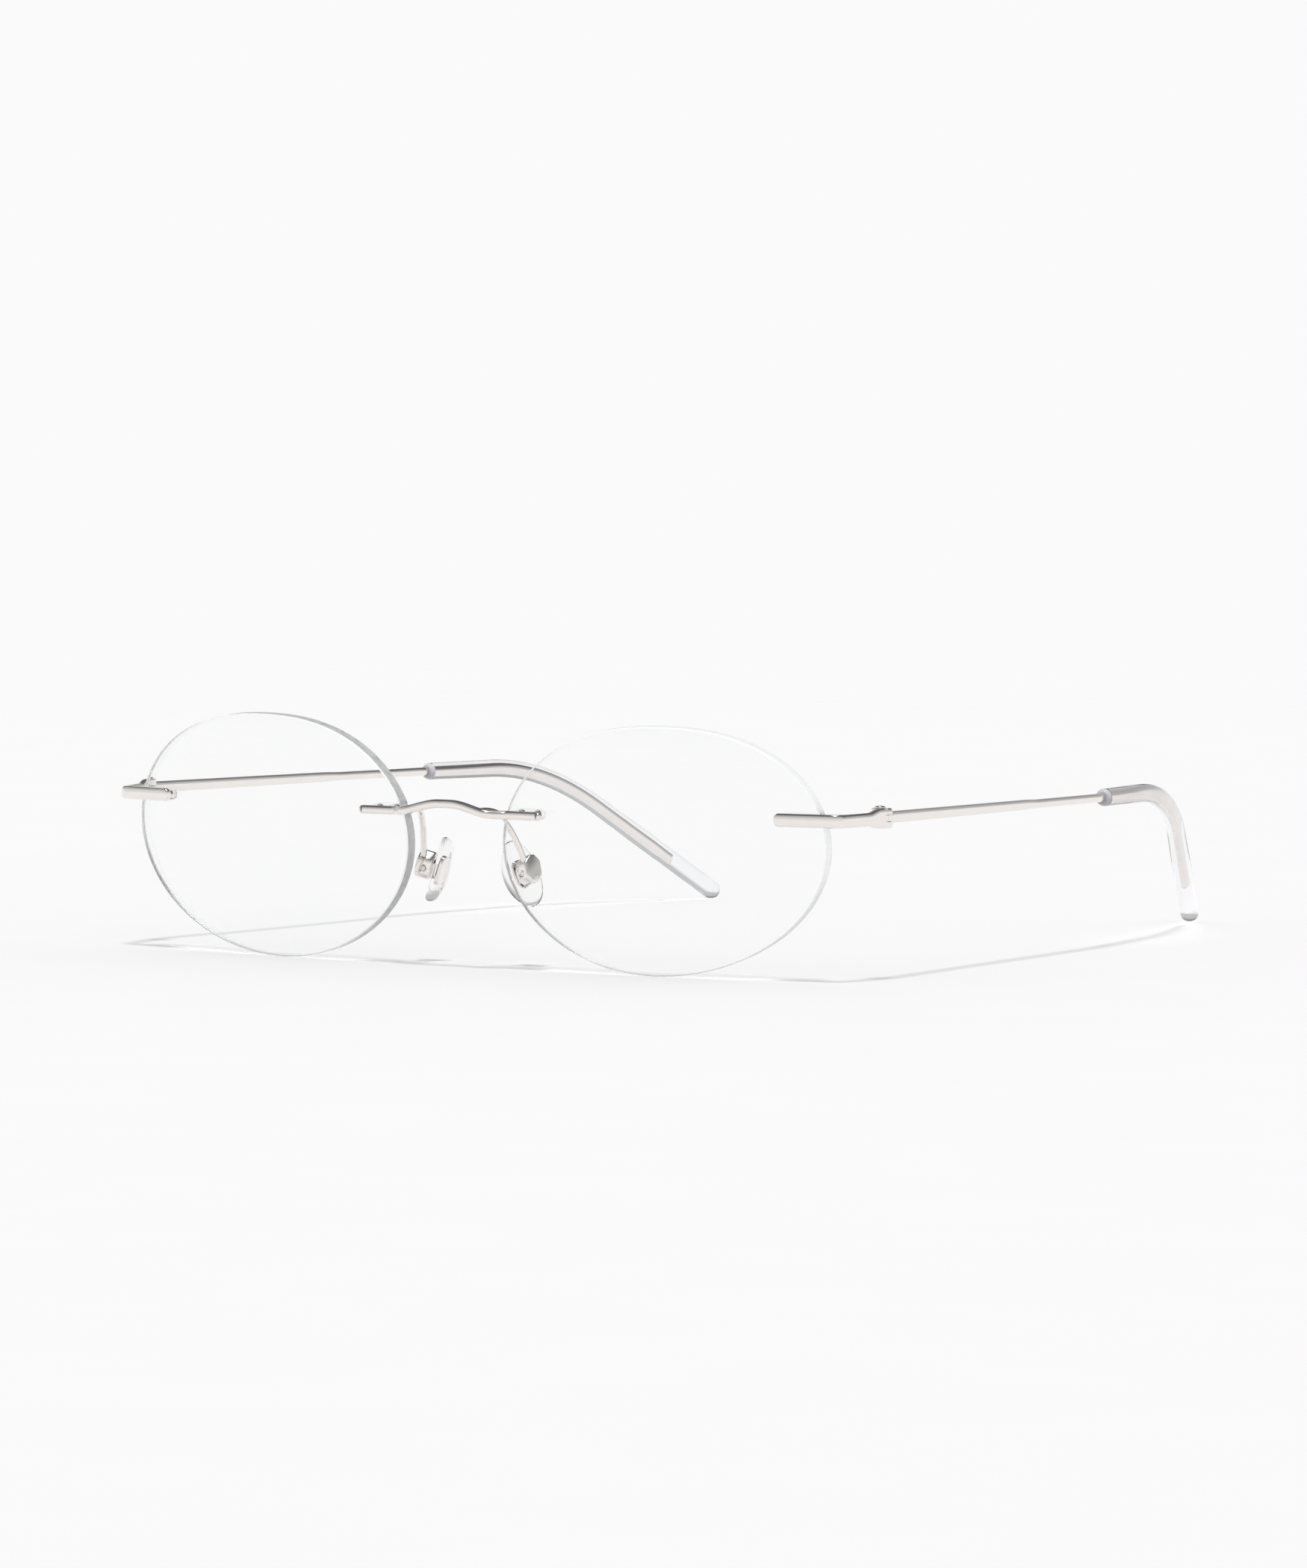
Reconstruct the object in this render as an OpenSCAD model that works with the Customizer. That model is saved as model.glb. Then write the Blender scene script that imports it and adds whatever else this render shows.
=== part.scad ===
// Rimless eyeglasses: two clear lenses held by posts and bushings, a bent wire bridge,
// adjustable nose pads and spring-free folding temples with clear tips.
// +X is the wearer's left, the front faces -Y, the temples run back along +Y, and z = 0 is the table.

/* [Lenses] */
// Width of the lens outline before its corners are eased
lens_w = 50.56; // [48:0.1:52]
// Height of the lens outline before its corners are eased
lens_h = 35.76; // [34:0.1:38]
// Radius of the lens's front face
lens_r = 137; // [110:1:180]
// Thickness of the lens
lens_t = 1.9; // [1.6:0.05:2.2]
// Distance of the lens's middle from the middle of the glasses
lens_x = 33.09; // [32.8:0.05:34]
// Height of the lens's middle above the table
lens_z = 17.87; // [17.8:0.05:18.5]
// How far the outer ends of the lenses swing back
wrap = 6.1; // [5:0.1:7]
// How far the tops of the lenses lean forward
lean = 4.9; // [4:0.1:6]
// How far the outline is turned, outer end up
outline_turn = 2.4; // [0:0.1:4]

/* [Bridge] */
// Thickness of the bridge wire
bridge_d = 1.25; // [1:0.05:1.4]
// Rise of the middle of the bridge above its ends
bridge_rise = 1.35; // [0.8:0.05:2]
// How far the middle of the bridge stands in front of its ends
bridge_bow = 2.0; // [1.5:0.1:2.5]
// Height of the bridge's ends above the table
bridge_z = 22.3; // [21.5:0.1:23]

/* [End pieces] */
// Height of the bar on the lens
bar_h = 1.9; // [1.6:0.05:2.1]
// Thickness of the bar on the lens
bar_t = 1.15; // [1:0.05:1.3]
// Height of the bar's middle above the table
bar_z = 22.95; // [22.8:0.05:23.1]
// Height of the hinge
hinge_h = 2.85; // [2.5:0.05:3]
// Thickness of the temple's middle knuckle
knuckle_h = 0.9; // [0.8:0.05:1]
// Radius of the hinge barrel
knuckle_r = 1.2; // [1.1:0.05:1.25]

/* [Temples] */
// Height of the temple bar at the hinge
temple_h = 1.7; // [1.4:0.05:1.9]
// Thickness of the temple bar
temple_t = 1.05; // [0.9:0.05:1.1]
// Diameter of the clear tip at its front
tip_front_d = 2.6; // [2.5:0.05:2.8]
// Diameter of the clear tip round the bend
tip_bend_d = 2.8; // [2.7:0.05:2.9]
// Diameter of the clear tip at its end
tip_end_d = 3.0; // [2.9:0.05:3.1]

/* [Nose pads] */
// Length of the nose pad
pad_l = 10; // [9:0.5:12]
// Width of the nose pad
pad_w = 6.4; // [5:0.1:7]
// Thickness of the nose pad
pad_t = 1.95; // [1.8:0.05:2.2]

/* [Hidden] */
$fn = 48;
sphere_fn = 240;

// The origin is under the middle of the whole object, this far behind the lenses
origin_y = 73.02;

// Lens mounting: posts pass through sleeves in drilled holes
gap = 0.02;
post_r = 0.4;
sleeve_r = 0.7;
post_step = 1.35;
bush_t = 0.7;
bush_l = 5;
bush_h = 1.6;
bush_clear = 0.06;
outer_u = 21.4;
outer_v = 4.8;
inner_u = -21.2;
inner_v = 4.35;
inner_bar_x = 12;

// Bridge wire: the ends lie on the lenses, the middle is lifted and brought forward
bridge_end_x = 14.75;
bridge_bar_y = -1.65;
bridge_slope = -0.047;

// End piece: a bar in front of the lens, a bend and a plate that carries the hinge
bar_start = [51.08, 2.08];
bar_l = 8.43;
bar_yaw = 10.75;
bar_end_r = 0.7;
bar_reach = 1;
bend_r = 1.6;
bend_a = 66.74;
bend_reach = 0.15;
plate_l = 9.95;
plate_t = 1.05;
flare_at = 5.1;
flare_l = 2.6;
plate_yaw = bar_yaw + bend_a;
bend_start = bar_start + bar_l * [cos(bar_yaw), sin(bar_yaw)];
bend_mid = bend_start + bend_r * [-sin(bar_yaw), cos(bar_yaw)];
bend_end = bend_mid + bend_r * [sin(plate_yaw), -cos(plate_yaw)];
plate_end = bend_end + plate_l * [cos(plate_yaw), sin(plate_yaw)];

// Hinge: its axis stands inside the end of the plate
hinge_z = 23.1;
hinge_back = 1.35;
hinge_in = 0.75;
hinge_xy = plate_end - hinge_back * [cos(plate_yaw), sin(plate_yaw)]
    + hinge_in * [-sin(plate_yaw), cos(plate_yaw)];
hinge_play = 0.08;
hinge_stop = 0.1;
knuckle_in = 0.45;
screw_r = 0.45;
screw_head_r = 0.8;
screw_head_h = 0.3;
slot_w = 0.24;

// Temple: a straight bar, a slight bend in, a straight stretch, the ear bend and a straight tip
temple_start = [62.62, 14.56, 23.2];
temple_in = 2.3;
temple_drop = 0.317;
temple_straight = 68.66;
temple_rear_h = 1.3;
temple_step_h = 1.5;
temple_step_at = 44;
temple_step_l = 5;
core_h = 1.25;
core_t = 0.6;
core_gap = 0.03;
core_end = 10;
inward = 180;
in_bend = [40, 4.63, inward];
tip_straight = 16.453;
ear_bend = [44, 33.536, 111.57];
tip_last = 27.52;
tip_taper = 12;

// Pieces of one solid reach this far into each other, the inner one thinner by a skin
overlap = 0.3;
skin = 0.01;

// Nose pad set: box, screw, metal insert and soft pad, whose faces curve away from the nose at the ends
pad_mid = [7.04, 6.92, 13.41];
pad_turn = [14.3, -16.5, -25.2];
pad_front_r = 12;
pad_back_r = 16;
pad_rear = 0.45;
box_mid = [8.95, 6.1, 14.2];
box_turn = [0, -15, -18];
box_size = [2.4, 3, 4.1];
box_brow = 1.2;
box_corner = 0.9;
box_slot = 1.2;
box_wall = 0.3;
screw_drop = 0.5;
tongue_t = 1.04;
tongue_r = 0.85;
tongue_h = 2;
tongue_l = 2.2;
pad_screw_r = 0.35;
insert_l = 4.2;
insert_w = 2.3;
insert_t = 0.5;
arm_r = 0.45;
arm_start = [5.4, -3, 22.75];
arm_pull_1 = [6.67, 1.03, 23.23];
arm_pull_2 = [7.53, 3.24, 21.4];
arm_end = [8.87, 5.42, 14.95];

// ---- shapes that repeat ----

function smooth(t) = t <= 0 ? 0 : t >= 1 ? 1 : t * t * (3 - 2 * t);

function unit(v) = v / norm(v);

// Corners of a rectangle w by h, rounded to radius r
function rounded_rect(w, h, r, steps = 4) = [
    for (corner = [0:3], k = [0:steps])
        let (a = 90 * corner + 90 * k / steps, sx = corner == 0 || corner == 3 ? 1 : -1)
        let (sy = corner < 2 ? 1 : -1)
        [sx * (w / 2 - r) + r * cos(a), sy * (h / 2 - r) + r * sin(a)]
];

// Points of a cubic Bezier curve
function bezier(p, q, r, s, steps) = [
    for (i = [0:steps])
        let (t = i / steps, n = 1 - t)
        n * n * n * p + 3 * n * n * t * q + 3 * n * t * t * r + t * t * t * s
];

// Sweeps a round section along points, with one radius for each point
module sweep(points, radii, sides = 12) {
    last = len(points) - 1;
    rings = [
        for (i = [0:last])
            let (d = unit(points[min(i + 1, last)] - points[max(i - 1, 0)]))
            let (side = unit(cross(d, [0, 0.2, 1])), up = cross(side, d))
            for (k = [0:sides - 1])
                points[i] + radii[i] * (cos(360 * k / sides) * side + sin(360 * k / sides) * up)
    ];
    walls = [
        for (i = [0:last - 1], k = [0:sides - 1])
            let (a = i * sides + k, b = i * sides + (k + 1) % sides)
            [a, b, b + sides, a + sides]
    ];
    first_cap = [for (k = [0:sides - 1]) sides - 1 - k];
    last_cap = [for (k = [0:sides - 1]) last * sides + k];
    polyhedron(points = rings, faces = concat([first_cap], walls, [last_cap]));
}

// Draws a flat outline along a bend [radius, angle, direction] that starts at the origin along +Z
module bend(b) {
    rotate([0, 0, b[2]])
        translate([b[0], 0, 0])
            rotate([90, 0, 180])
                rotate_extrude(angle = b[1], $fn = 180)
                    translate([b[0], 0])
                        mirror([1, 0])
                            rotate([0, 0, -b[2]])
                                children();
}

// Moves to the far end of a bend
module after_bend(b) {
    rotate([0, 0, b[2]])
        translate([b[0], 0, 0])
            rotate([0, b[1], 0])
                translate([-b[0], 0, 0])
                    rotate([0, 0, -b[2]])
                        children();
}

// Moves to the far end of a straight stretch
module ahead(l) {
    translate([0, 0, l])
        children();
}

module left() {
    translate([0, -origin_y, 0])
        children();
}

module right() {
    mirror([1, 0, 0])
        left()
            children();
}

// The lens's own axes: x outward, y up, z out of the front face
module lens_place() {
    translate([lens_x, 0, lens_z])
        rotate([0, 0, wrap])
            rotate([lean + 90, 0, 0])
                children();
}

// A spot on the lens's front face, with z along its normal
module on_lens(u, v) {
    lens_place()
        translate([0, 0, -lens_r])
            rotate([-asin(v / lens_r), asin(u / lens_r), 0])
                translate([0, 0, lens_r])
                    children();
}

module outer_spot() {
    on_lens(outer_u, outer_v)
        children();
}

module inner_spot() {
    on_lens(inner_u, inner_v)
        children();
}

module each_post() {
    for (side = [-1, 1])
        translate([side * post_step, 0, 0])
            children();
}

module hinge_place() {
    translate([hinge_xy[0], hinge_xy[1], hinge_z])
        rotate([0, 0, plate_yaw - 90])
            children();
}

module temple_place() {
    translate(temple_start)
        rotate([-90 - temple_drop, 0, temple_in])
            children();
}

module pad_place() {
    translate(pad_mid)
        rotate(pad_turn)
            children();
}

module box_place() {
    translate(box_mid)
        rotate(box_turn)
            children();
}

module pad_axis() {
    box_place()
        translate([0, 0, -screw_drop])
            rotate([90, 0, 0])
                children();
}

// ---- lenses ----

// Half-width of the outline at angle t from its outer end
function rim(t) =
    (1 + 0.007 * cos(3 * t) + 0.0108 * sin(3 * t) - 0.0053 * cos(4 * t))
    / sqrt(pow(cos(t) / (lens_w / 2), 2) + pow(sin(t) / (lens_h / 2), 2));

module lens() {
    color("lightcyan", 0.4)
        difference() {
            lens_place()
                intersection() {
                    rotate([0, 0, outline_turn])
                        translate([0, 0, -10])
                            linear_extrude(14)
                                polygon([for (t = [0:5:355]) rim(t) * [cos(t), sin(t)]]);
                    translate([0, 0, -lens_r])
                        difference() {
                            sphere(r = lens_r, $fn = sphere_fn);
                            sphere(r = lens_r - lens_t, $fn = sphere_fn);
                        }
                }
            outer_spot()
                each_post()
                    lens_hole();
            inner_spot()
                each_post()
                    lens_hole();
        }
}

module lens_hole() {
    translate([0, 0, -3 * lens_t])
        cylinder(r = sleeve_r + gap, h = 5 * lens_t);
}

// Post from the back of the bushing to a distance in front of the lens
module lens_post(reach) {
    translate([0, 0, -lens_t - bush_t])
        cylinder(r = post_r, h = lens_t + bush_t + reach);
}

// Clear plate behind the lens with a sleeve for each post
module bushing() {
    color("whitesmoke", 0.6)
        difference() {
            union() {
                translate([0, 0, -lens_t - bush_clear - bush_t])
                    linear_extrude(bush_t)
                        polygon(rounded_rect(bush_l, bush_h, 0.75));
                each_post()
                    translate([0, 0, -lens_t - bush_clear - bush_t / 2])
                        cylinder(r = sleeve_r, h = lens_t - 0.1 + bush_t / 2);
            }
            each_post()
                translate([0, 0, -3 * lens_t])
                    cylinder(r = post_r + gap, h = 4 * lens_t);
        }
}

// ---- bridge ----

// The wire's middle line at distance x from the middle, and its radius near a rounded end
function bridge_point(x) =
    let (a = abs(x))
    [
        x,
        bridge_bar_y + bridge_slope * (a - inner_bar_x) - bridge_bow * smooth((9.8 - a) / 3.4),
        bridge_z + bridge_rise * smooth((8.4 - a) / 7.4)
    ];

module bridge() {
    color("silver") {
        left() {
            bridge_wire(0);
            inner_spot()
                each_post()
                    lens_post(bridge_d / 2);
        }
        right()
            inner_spot()
                each_post()
                    lens_post(bridge_d / 2);
    }
}

// The wire, thicker all round by extra
module bridge_wire(extra) {
    half = bridge_d / 2 + extra;
    middle = [for (i = [-24:24]) bridge_end_x * i / 24];
    cap = [for (a = [72, 48, 24]) a];
    xs = concat(
        [for (a = cap) -bridge_end_x - half * sin(a)],
        middle,
        [for (i = [2:-1:0]) bridge_end_x + half * sin(cap[i])]
    );
    radii = concat(
        [for (a = cap) half * cos(a)],
        [for (x = middle) half],
        [for (i = [2:-1:0]) half * cos(cap[i])]
    );
    sweep([for (x = xs) bridge_point(x)], radii);
}

// ---- end pieces and hinges ----

// Half-height of the plate at distance s from the bend, with the flare at the hinge
function plate_half(s) =
    bar_h / 2 - skin + (hinge_h - bar_h) / 2 * smooth((s - flare_at) / flare_l);

module end_piece() {
    color("silver")
        difference() {
            union() {
                end_bar();
                outer_spot()
                    each_post()
                        lens_post(bar_reach);
                translate([bend_mid[0], bend_mid[1], bar_z])
                    rotate([0, 0, bar_yaw - 90])
                        rotate_extrude(angle = bend_a, $fn = 180)
                            translate([bend_r, 0])
                                polygon(rounded_rect(bar_t, bar_h, 0.3));
                end_plate();
                hinge_place()
                    cylinder(r = knuckle_r, h = hinge_h, center = true);
            }
            hinge_place() {
                cylinder(r = screw_r + gap, h = 2 * hinge_h, center = true);
                cylinder(r = knuckle_r + 0.1, h = knuckle_h + 2 * hinge_play, center = true);
                translate([-3, -0.05, -knuckle_h / 2 - hinge_play])
                    cube([6, 3, knuckle_h + 2 * hinge_play]);
            }
        }
}

// Bar in front of the lens, rounded at its inner end
module end_bar() {
    half = bar_h / 2 - skin;
    tip = half - bar_end_r;
    upper = [for (a = [90:15:180]) bar_end_r * [1 + cos(a), sin(a)] + [0, tip]];
    lower = [for (a = [180:15:270]) bar_end_r * [1 + cos(a), sin(a)] - [0, tip]];
    outer = [[bar_l + bend_reach, -half], [bar_l + bend_reach, half]];
    translate([bar_start[0], bar_start[1], bar_z])
        rotate([90, 0, bar_yaw])
            translate([0, 0, skin - bar_t / 2])
                linear_extrude(bar_t - 2 * skin)
                    polygon(concat(upper, lower, outer));
}

module end_plate() {
    steps = 24;
    rise = hinge_z - bar_z;
    stations = [for (i = [0:steps]) -overlap + (plate_l + overlap - 0.25) * i / steps];
    top = [for (s = stations) [s, plate_half(s) + rise * smooth(s / plate_l)]];
    bottom = [for (i = [steps:-1:0]) [top[i][0], 2 * rise * smooth(top[i][0] / plate_l) - top[i][1]]];
    tail = [[plate_l, rise + hinge_h / 2 - 0.25], [plate_l, rise - hinge_h / 2 + 0.25]];
    translate([bend_end[0], bend_end[1], bar_z])
        rotate([90, 0, plate_yaw])
            translate([0, 0, -plate_t / 2])
                linear_extrude(plate_t)
                    polygon(concat(top, tail, bottom));
}

// Screw pressed through the hinge from above
module hinge_screw() {
    color("gainsboro")
        hinge_place()
            difference() {
                union() {
                    translate([0, 0, -hinge_h / 2])
                        cylinder(r = screw_r, h = hinge_h + gap);
                    translate([0, 0, hinge_h / 2 + gap])
                        cylinder(r = screw_head_r, h = screw_head_h);
                }
                translate([-1, -slot_w / 2, hinge_h / 2 + screw_head_h / 2])
                    cube([2, slot_w, screw_head_h]);
            }
}

// ---- temples ----

module temple() {
    color("silver") {
        hinge_place()
            difference() {
                union() {
                    cylinder(r = knuckle_r, h = knuckle_h, center = true);
                    translate([knuckle_in - plate_t / 2, 0, -knuckle_h / 2])
                        cube([plate_t, hinge_back + hinge_stop + 0.4, knuckle_h]);
                }
                cylinder(r = screw_r + 0.05, h = 2 * knuckle_h, center = true);
            }
        difference() {
            temple_place()
                temple_bar();
            hinge_place()
                translate([-3, hinge_back + hinge_stop - 4, -3])
                    cube([6, 4, 6]);
        }
        temple_place()
            ahead(temple_straight) {
                bend(in_bend)
                    polygon(rounded_rect(temple_t + 2 * skin, temple_rear_h + 2 * skin, 0.3));
                after_bend(in_bend)
                    core(0);
            }
    }
}

// Straight bar that tapers towards the back and then steps down to a slimmer rear
module temple_bar() {
    translate([-temple_t / 2, 0, 0])
        rotate([0, -90, 0])
            mirror([0, 0, 1])
                linear_extrude(temple_t)
                    polygon([
                        [-0.6, -temple_h / 2],
                        [temple_step_at, -temple_step_h / 2],
                        [temple_step_at + temple_step_l, -temple_rear_h / 2],
                        [temple_straight + overlap, -temple_rear_h / 2],
                        [temple_straight + overlap, temple_rear_h / 2],
                        [temple_step_at + temple_step_l, temple_rear_h / 2],
                        [temple_step_at, temple_step_h / 2],
                        [-0.6, temple_h / 2]
                    ]);
}

// Flat core inside the clear tip, larger all round by extra
module core(extra) {
    section = [core_t + 2 * extra, core_h + 2 * extra];
    core_stretch(section, tip_straight);
    ahead(tip_straight) {
        bend(ear_bend)
            square(section, center = true);
        after_bend(ear_bend)
            core_stretch(section, tip_last - core_end - overlap + extra);
    }
}

// Straight stretch of the core that reaches into the bends at its ends
module core_stretch(section, l) {
    ahead(-overlap)
        linear_extrude(l + 2 * overlap)
            square(section - 2 * [skin, skin], center = true);
}

// Clear sleeve over the core
module temple_tip() {
    color("whitesmoke", 0.5)
        temple_place()
            ahead(temple_straight)
                after_bend(in_bend)
                    difference() {
                        union() {
                            ahead(gap)
                                cylinder(
                                    d1 = tip_front_d, d2 = tip_bend_d - 2 * skin, h = tip_straight + overlap
                                );
                            ahead(tip_straight) {
                                bend(ear_bend)
                                    circle(d = tip_bend_d);
                                after_bend(ear_bend)
                                    tip_tail();
                            }
                        }
                        core(core_gap);
                    }
}

module tip_tail() {
    ahead(-overlap)
        cylinder(d1 = tip_bend_d - 4 * skin, d2 = tip_end_d, h = tip_taper + overlap);
    ahead(tip_taper)
        cylinder(d = tip_end_d, h = tip_last - tip_taper);
    ahead(tip_last)
        sphere(d = tip_end_d);
}

// ---- nose pads ----

// Wire from the back of the bridge to the brow of the box
module pad_arm() {
    color("silver")
        difference() {
            sweep(bezier(arm_start, arm_pull_1, arm_pull_2, arm_end, 16), [for (i = [0:16]) arm_r], 10);
            bridge_wire(gap);
            box_body(gap);
        }
}

// The box before it is slotted, larger all round by extra
module box_body(extra) {
    y = box_size[1] / 2 + extra;
    z = box_size[2] / 2 + extra;
    box_place()
        rotate([90, 0, 90])
            translate([0, 0, -box_size[0] / 2 - extra])
                linear_extrude(box_size[0] + 2 * extra)
                    polygon([
                        [box_brow - y, z],
                        [-y, z - box_brow],
                        [-y, box_corner - z],
                        [box_corner - y, -z],
                        [y - box_corner, -z],
                        [y, box_corner - z],
                        [y, z - box_corner],
                        [y - box_corner, z]
                    ]);
}

module pad_box() {
    color("silver")
        difference() {
            box_body(0);
            box_place()
                translate([-box_size[0], -box_slot / 2, -box_size[2]])
                    cube([1.5 * box_size[0] - box_wall, box_slot, 2 * box_size[2]]);
            pad_axis()
                cylinder(r = pad_screw_r + gap, h = 2 * box_size[1], center = true);
        }
}

module pad_screw() {
    color("gainsboro")
        pad_axis()
            cylinder(r = pad_screw_r, h = box_size[1] - 0.2, center = true);
}

// Metal tongue in the box with an oval plate that anchors the soft pad
module pad_insert() {
    color("silver")
        difference() {
            union() {
                pad_place()
                    insert_plate(0);
                pad_axis()
                    cylinder(r = tongue_r, h = tongue_t, center = true);
                tongue_web(0);
            }
            pad_axis()
                cylinder(r = pad_screw_r + 0.04, h = 4, center = true);
        }
}

module tongue_web(extra) {
    box_place()
        translate([-tongue_l, -tongue_t / 2 - extra, -screw_drop - tongue_h / 2 - extra])
            cube([tongue_l, tongue_t + 2 * extra, tongue_h + 2 * extra]);
}

module insert_plate(extra) {
    rotate([0, 90, 0])
        translate([0, 0, -insert_t / 2 - extra])
            linear_extrude(insert_t + 2 * extra)
                polygon(rounded_rect(insert_l + 2 * extra, insert_w + 2 * extra, 1.1));
}

module nose_pad() {
    color("whitesmoke", 0.5)
        difference() {
            pad_place()
                pad_shell();
            pad_place()
                insert_plate(gap);
            tongue_web(gap);
        }
}

// Oval plate, rounded towards the nose and slightly hollow behind
module pad_shell() {
    difference() {
        intersection() {
            rotate([0, 90, 0])
                translate([0, 0, -3])
                    linear_extrude(6)
                        polygon([for (t = [0:10:350]) [pad_l / 2 * cos(t), pad_w / 2 * sin(t)]]);
            translate([pad_front_r + pad_rear - pad_t, 0, 0])
                sphere(r = pad_front_r, $fn = 120);
        }
        translate([pad_back_r + pad_rear, 0, 0])
            sphere(r = pad_back_r, $fn = 120);
    }
}

module lens_left() left() lens();
module lens_right() right() lens();
module end_piece_left() left() end_piece();
module end_piece_right() right() end_piece();
module outer_bushing_left() left() outer_spot() bushing();
module outer_bushing_right() right() outer_spot() bushing();
module inner_bushing_left() left() inner_spot() bushing();
module inner_bushing_right() right() inner_spot() bushing();
module pad_arm_left() left() pad_arm();
module pad_arm_right() right() pad_arm();
module pad_box_left() left() pad_box();
module pad_box_right() right() pad_box();
module pad_screw_left() left() pad_screw();
module pad_screw_right() right() pad_screw();
module pad_insert_left() left() pad_insert();
module pad_insert_right() right() pad_insert();
module nose_pad_left() left() nose_pad();
module nose_pad_right() right() nose_pad();
module temple_left() left() temple();
module temple_right() right() temple();
module temple_tip_left() left() temple_tip();
module temple_tip_right() right() temple_tip();
module hinge_screw_left() left() hinge_screw();
module hinge_screw_right() right() hinge_screw();

bridge();
lens_left();
lens_right();
end_piece_left();
end_piece_right();
outer_bushing_left();
outer_bushing_right();
inner_bushing_left();
inner_bushing_right();
pad_arm_left();
pad_arm_right();
pad_box_left();
pad_box_right();
pad_screw_left();
pad_screw_right();
pad_insert_left();
pad_insert_right();
nose_pad_left();
nose_pad_right();
temple_left();
temple_right();
temple_tip_left();
temple_tip_right();
hinge_screw_left();
hinge_screw_right();
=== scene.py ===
"""Rimless eyeglasses: polished wire front, clear lenses, nose pads and ear tips, on a pale table."""
import math

import bmesh
import bpy
from mathutils import Matrix, Vector


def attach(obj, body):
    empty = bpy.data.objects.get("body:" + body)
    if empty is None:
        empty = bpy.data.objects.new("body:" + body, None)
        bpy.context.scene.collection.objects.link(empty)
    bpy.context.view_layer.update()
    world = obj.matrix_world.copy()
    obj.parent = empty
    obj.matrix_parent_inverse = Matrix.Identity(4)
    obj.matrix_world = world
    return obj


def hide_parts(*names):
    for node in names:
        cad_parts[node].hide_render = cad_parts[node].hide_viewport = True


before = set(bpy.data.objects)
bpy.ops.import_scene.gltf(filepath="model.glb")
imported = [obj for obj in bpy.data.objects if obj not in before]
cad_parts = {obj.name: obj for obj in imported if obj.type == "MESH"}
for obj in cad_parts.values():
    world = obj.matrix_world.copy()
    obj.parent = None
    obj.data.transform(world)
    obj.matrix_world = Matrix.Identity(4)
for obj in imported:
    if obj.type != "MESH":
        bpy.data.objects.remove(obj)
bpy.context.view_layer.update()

# Shapes below are worked out in millimetres for the wearer's left side, with y counted from the lenses.
# When a mesh is made it is moved by ORIGIN_Y to the frame's own origin, scaled, and mirrored if need be.
MM = 0.001
SIDES = {"left": 1, "right": -1}
ORIGIN_Y = 73.02
SHARP_ANGLE, EASED_ANGLE = 35, 40

# Lenses
LENS_W, LENS_H, LENS_R, LENS_T = 50.56, 35.76, 137.0, 1.9
LENS_X, LENS_Z = 33.09, 17.87
OUTLINE_COS3, OUTLINE_SIN3, OUTLINE_COS4 = 0.007, 0.0108, -0.0053
WRAP, LEAN, OUTLINE_TURN = 6.1, 4.9, 2.4
OUTER_SPOT, INNER_SPOT = (21.4, 4.8), (-21.2, 4.35)
POST_STEP, POST_R, SLEEVE_R = 1.35, 0.4, 0.7
BUSH_T, BUSH_L, BUSH_H, BUSH_CLEAR = 0.7, 5.0, 1.6, 0.06

# Bridge
BRIDGE_D, BRIDGE_Z, BRIDGE_END, BRIDGE_Y = 1.25, 22.3, 14.75, -1.65
BRIDGE_RISE, BRIDGE_BOW, BRIDGE_SLOPE, BRIDGE_BAR_X = 1.35, 2.0, -0.047, 12.0
BRIDGE_BOW_X, BRIDGE_BOW_L, BRIDGE_RISE_X, BRIDGE_RISE_L = 9.8, 3.4, 8.4, 7.4

# End pieces and hinges
BAR_H, BAR_T, BAR_L, BAR_Z, BAR_YAW, BAR_REACH = 1.9, 1.15, 8.43, 22.95, 10.75, 1.0
BAR_START = Vector((51.08, 2.08))
BEND_R, BEND_A, PLATE_L, PLATE_T = 1.6, 66.74, 9.95, 1.05
FLARE_AT, FLARE_L = 5.1, 2.6
HINGE_Z, HINGE_H, HINGE_BACK, HINGE_IN = 23.1, 2.85, 1.35, 0.75
KNUCKLE_R, KNUCKLE_H, KNUCKLE_IN, HINGE_PLAY, HINGE_STOP = 1.2, 0.9, 0.45, 0.08, 0.1
SCREW_R, SCREW_HEAD_R, SCREW_HEAD_H = 0.45, 0.8, 0.3

# Temples
TEMPLE_START, TEMPLE_IN, TEMPLE_DROP = Vector((62.62, 14.56, 23.2)), 2.3, 0.317
TEMPLE_STRAIGHT, TEMPLE_H, TEMPLE_REAR_H, TEMPLE_T = 68.66, 1.7, 1.3, 1.05
TEMPLE_STEP_H, TEMPLE_STEP_AT, TEMPLE_STEP_L = 1.5, 44.0, 5.0
IN_BEND, TIP_STRAIGHT, EAR_BEND, TIP_LAST = (40, 4.63, 180), 16.453, (44, 33.536, 111.57), 27.52
TIP_FRONT_D, TIP_BEND_D, TIP_END_D, TIP_TAPER = 2.6, 2.8, 3.0, 12.0
NECK_D, CORE_H, CORE_T, CORE_END = 1.05, 1.25, 0.6, 10.0

# Nose pads
PAD_MID, PAD_TURN = Vector((7.04, 6.92, 13.41)), (14.3, -16.5, -25.2)
PAD_L, PAD_W, PAD_T, PAD_REAR, PAD_FRONT_R, PAD_BACK_R = 10.0, 6.4, 1.95, 0.45, 12.0, 16.0
BOX_MID, BOX_TURN, BOX_SIZE = Vector((8.95, 6.1, 14.2)), (0, -15, -18), (2.4, 3.0, 4.1)
BOX_BROW, BOX_CORNER, BOX_SLOT, BOX_WALL, SCREW_DROP = 1.2, 0.9, 1.2, 0.3, 0.5
TONGUE_T, TONGUE_R, TONGUE_H, TONGUE_L = 1.04, 0.85, 2.0, 2.2
PAD_SCREW_R, INSERT_L, INSERT_W, INSERT_T = 0.35, 4.2, 2.3, 0.5
ARM_R = 0.45
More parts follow.
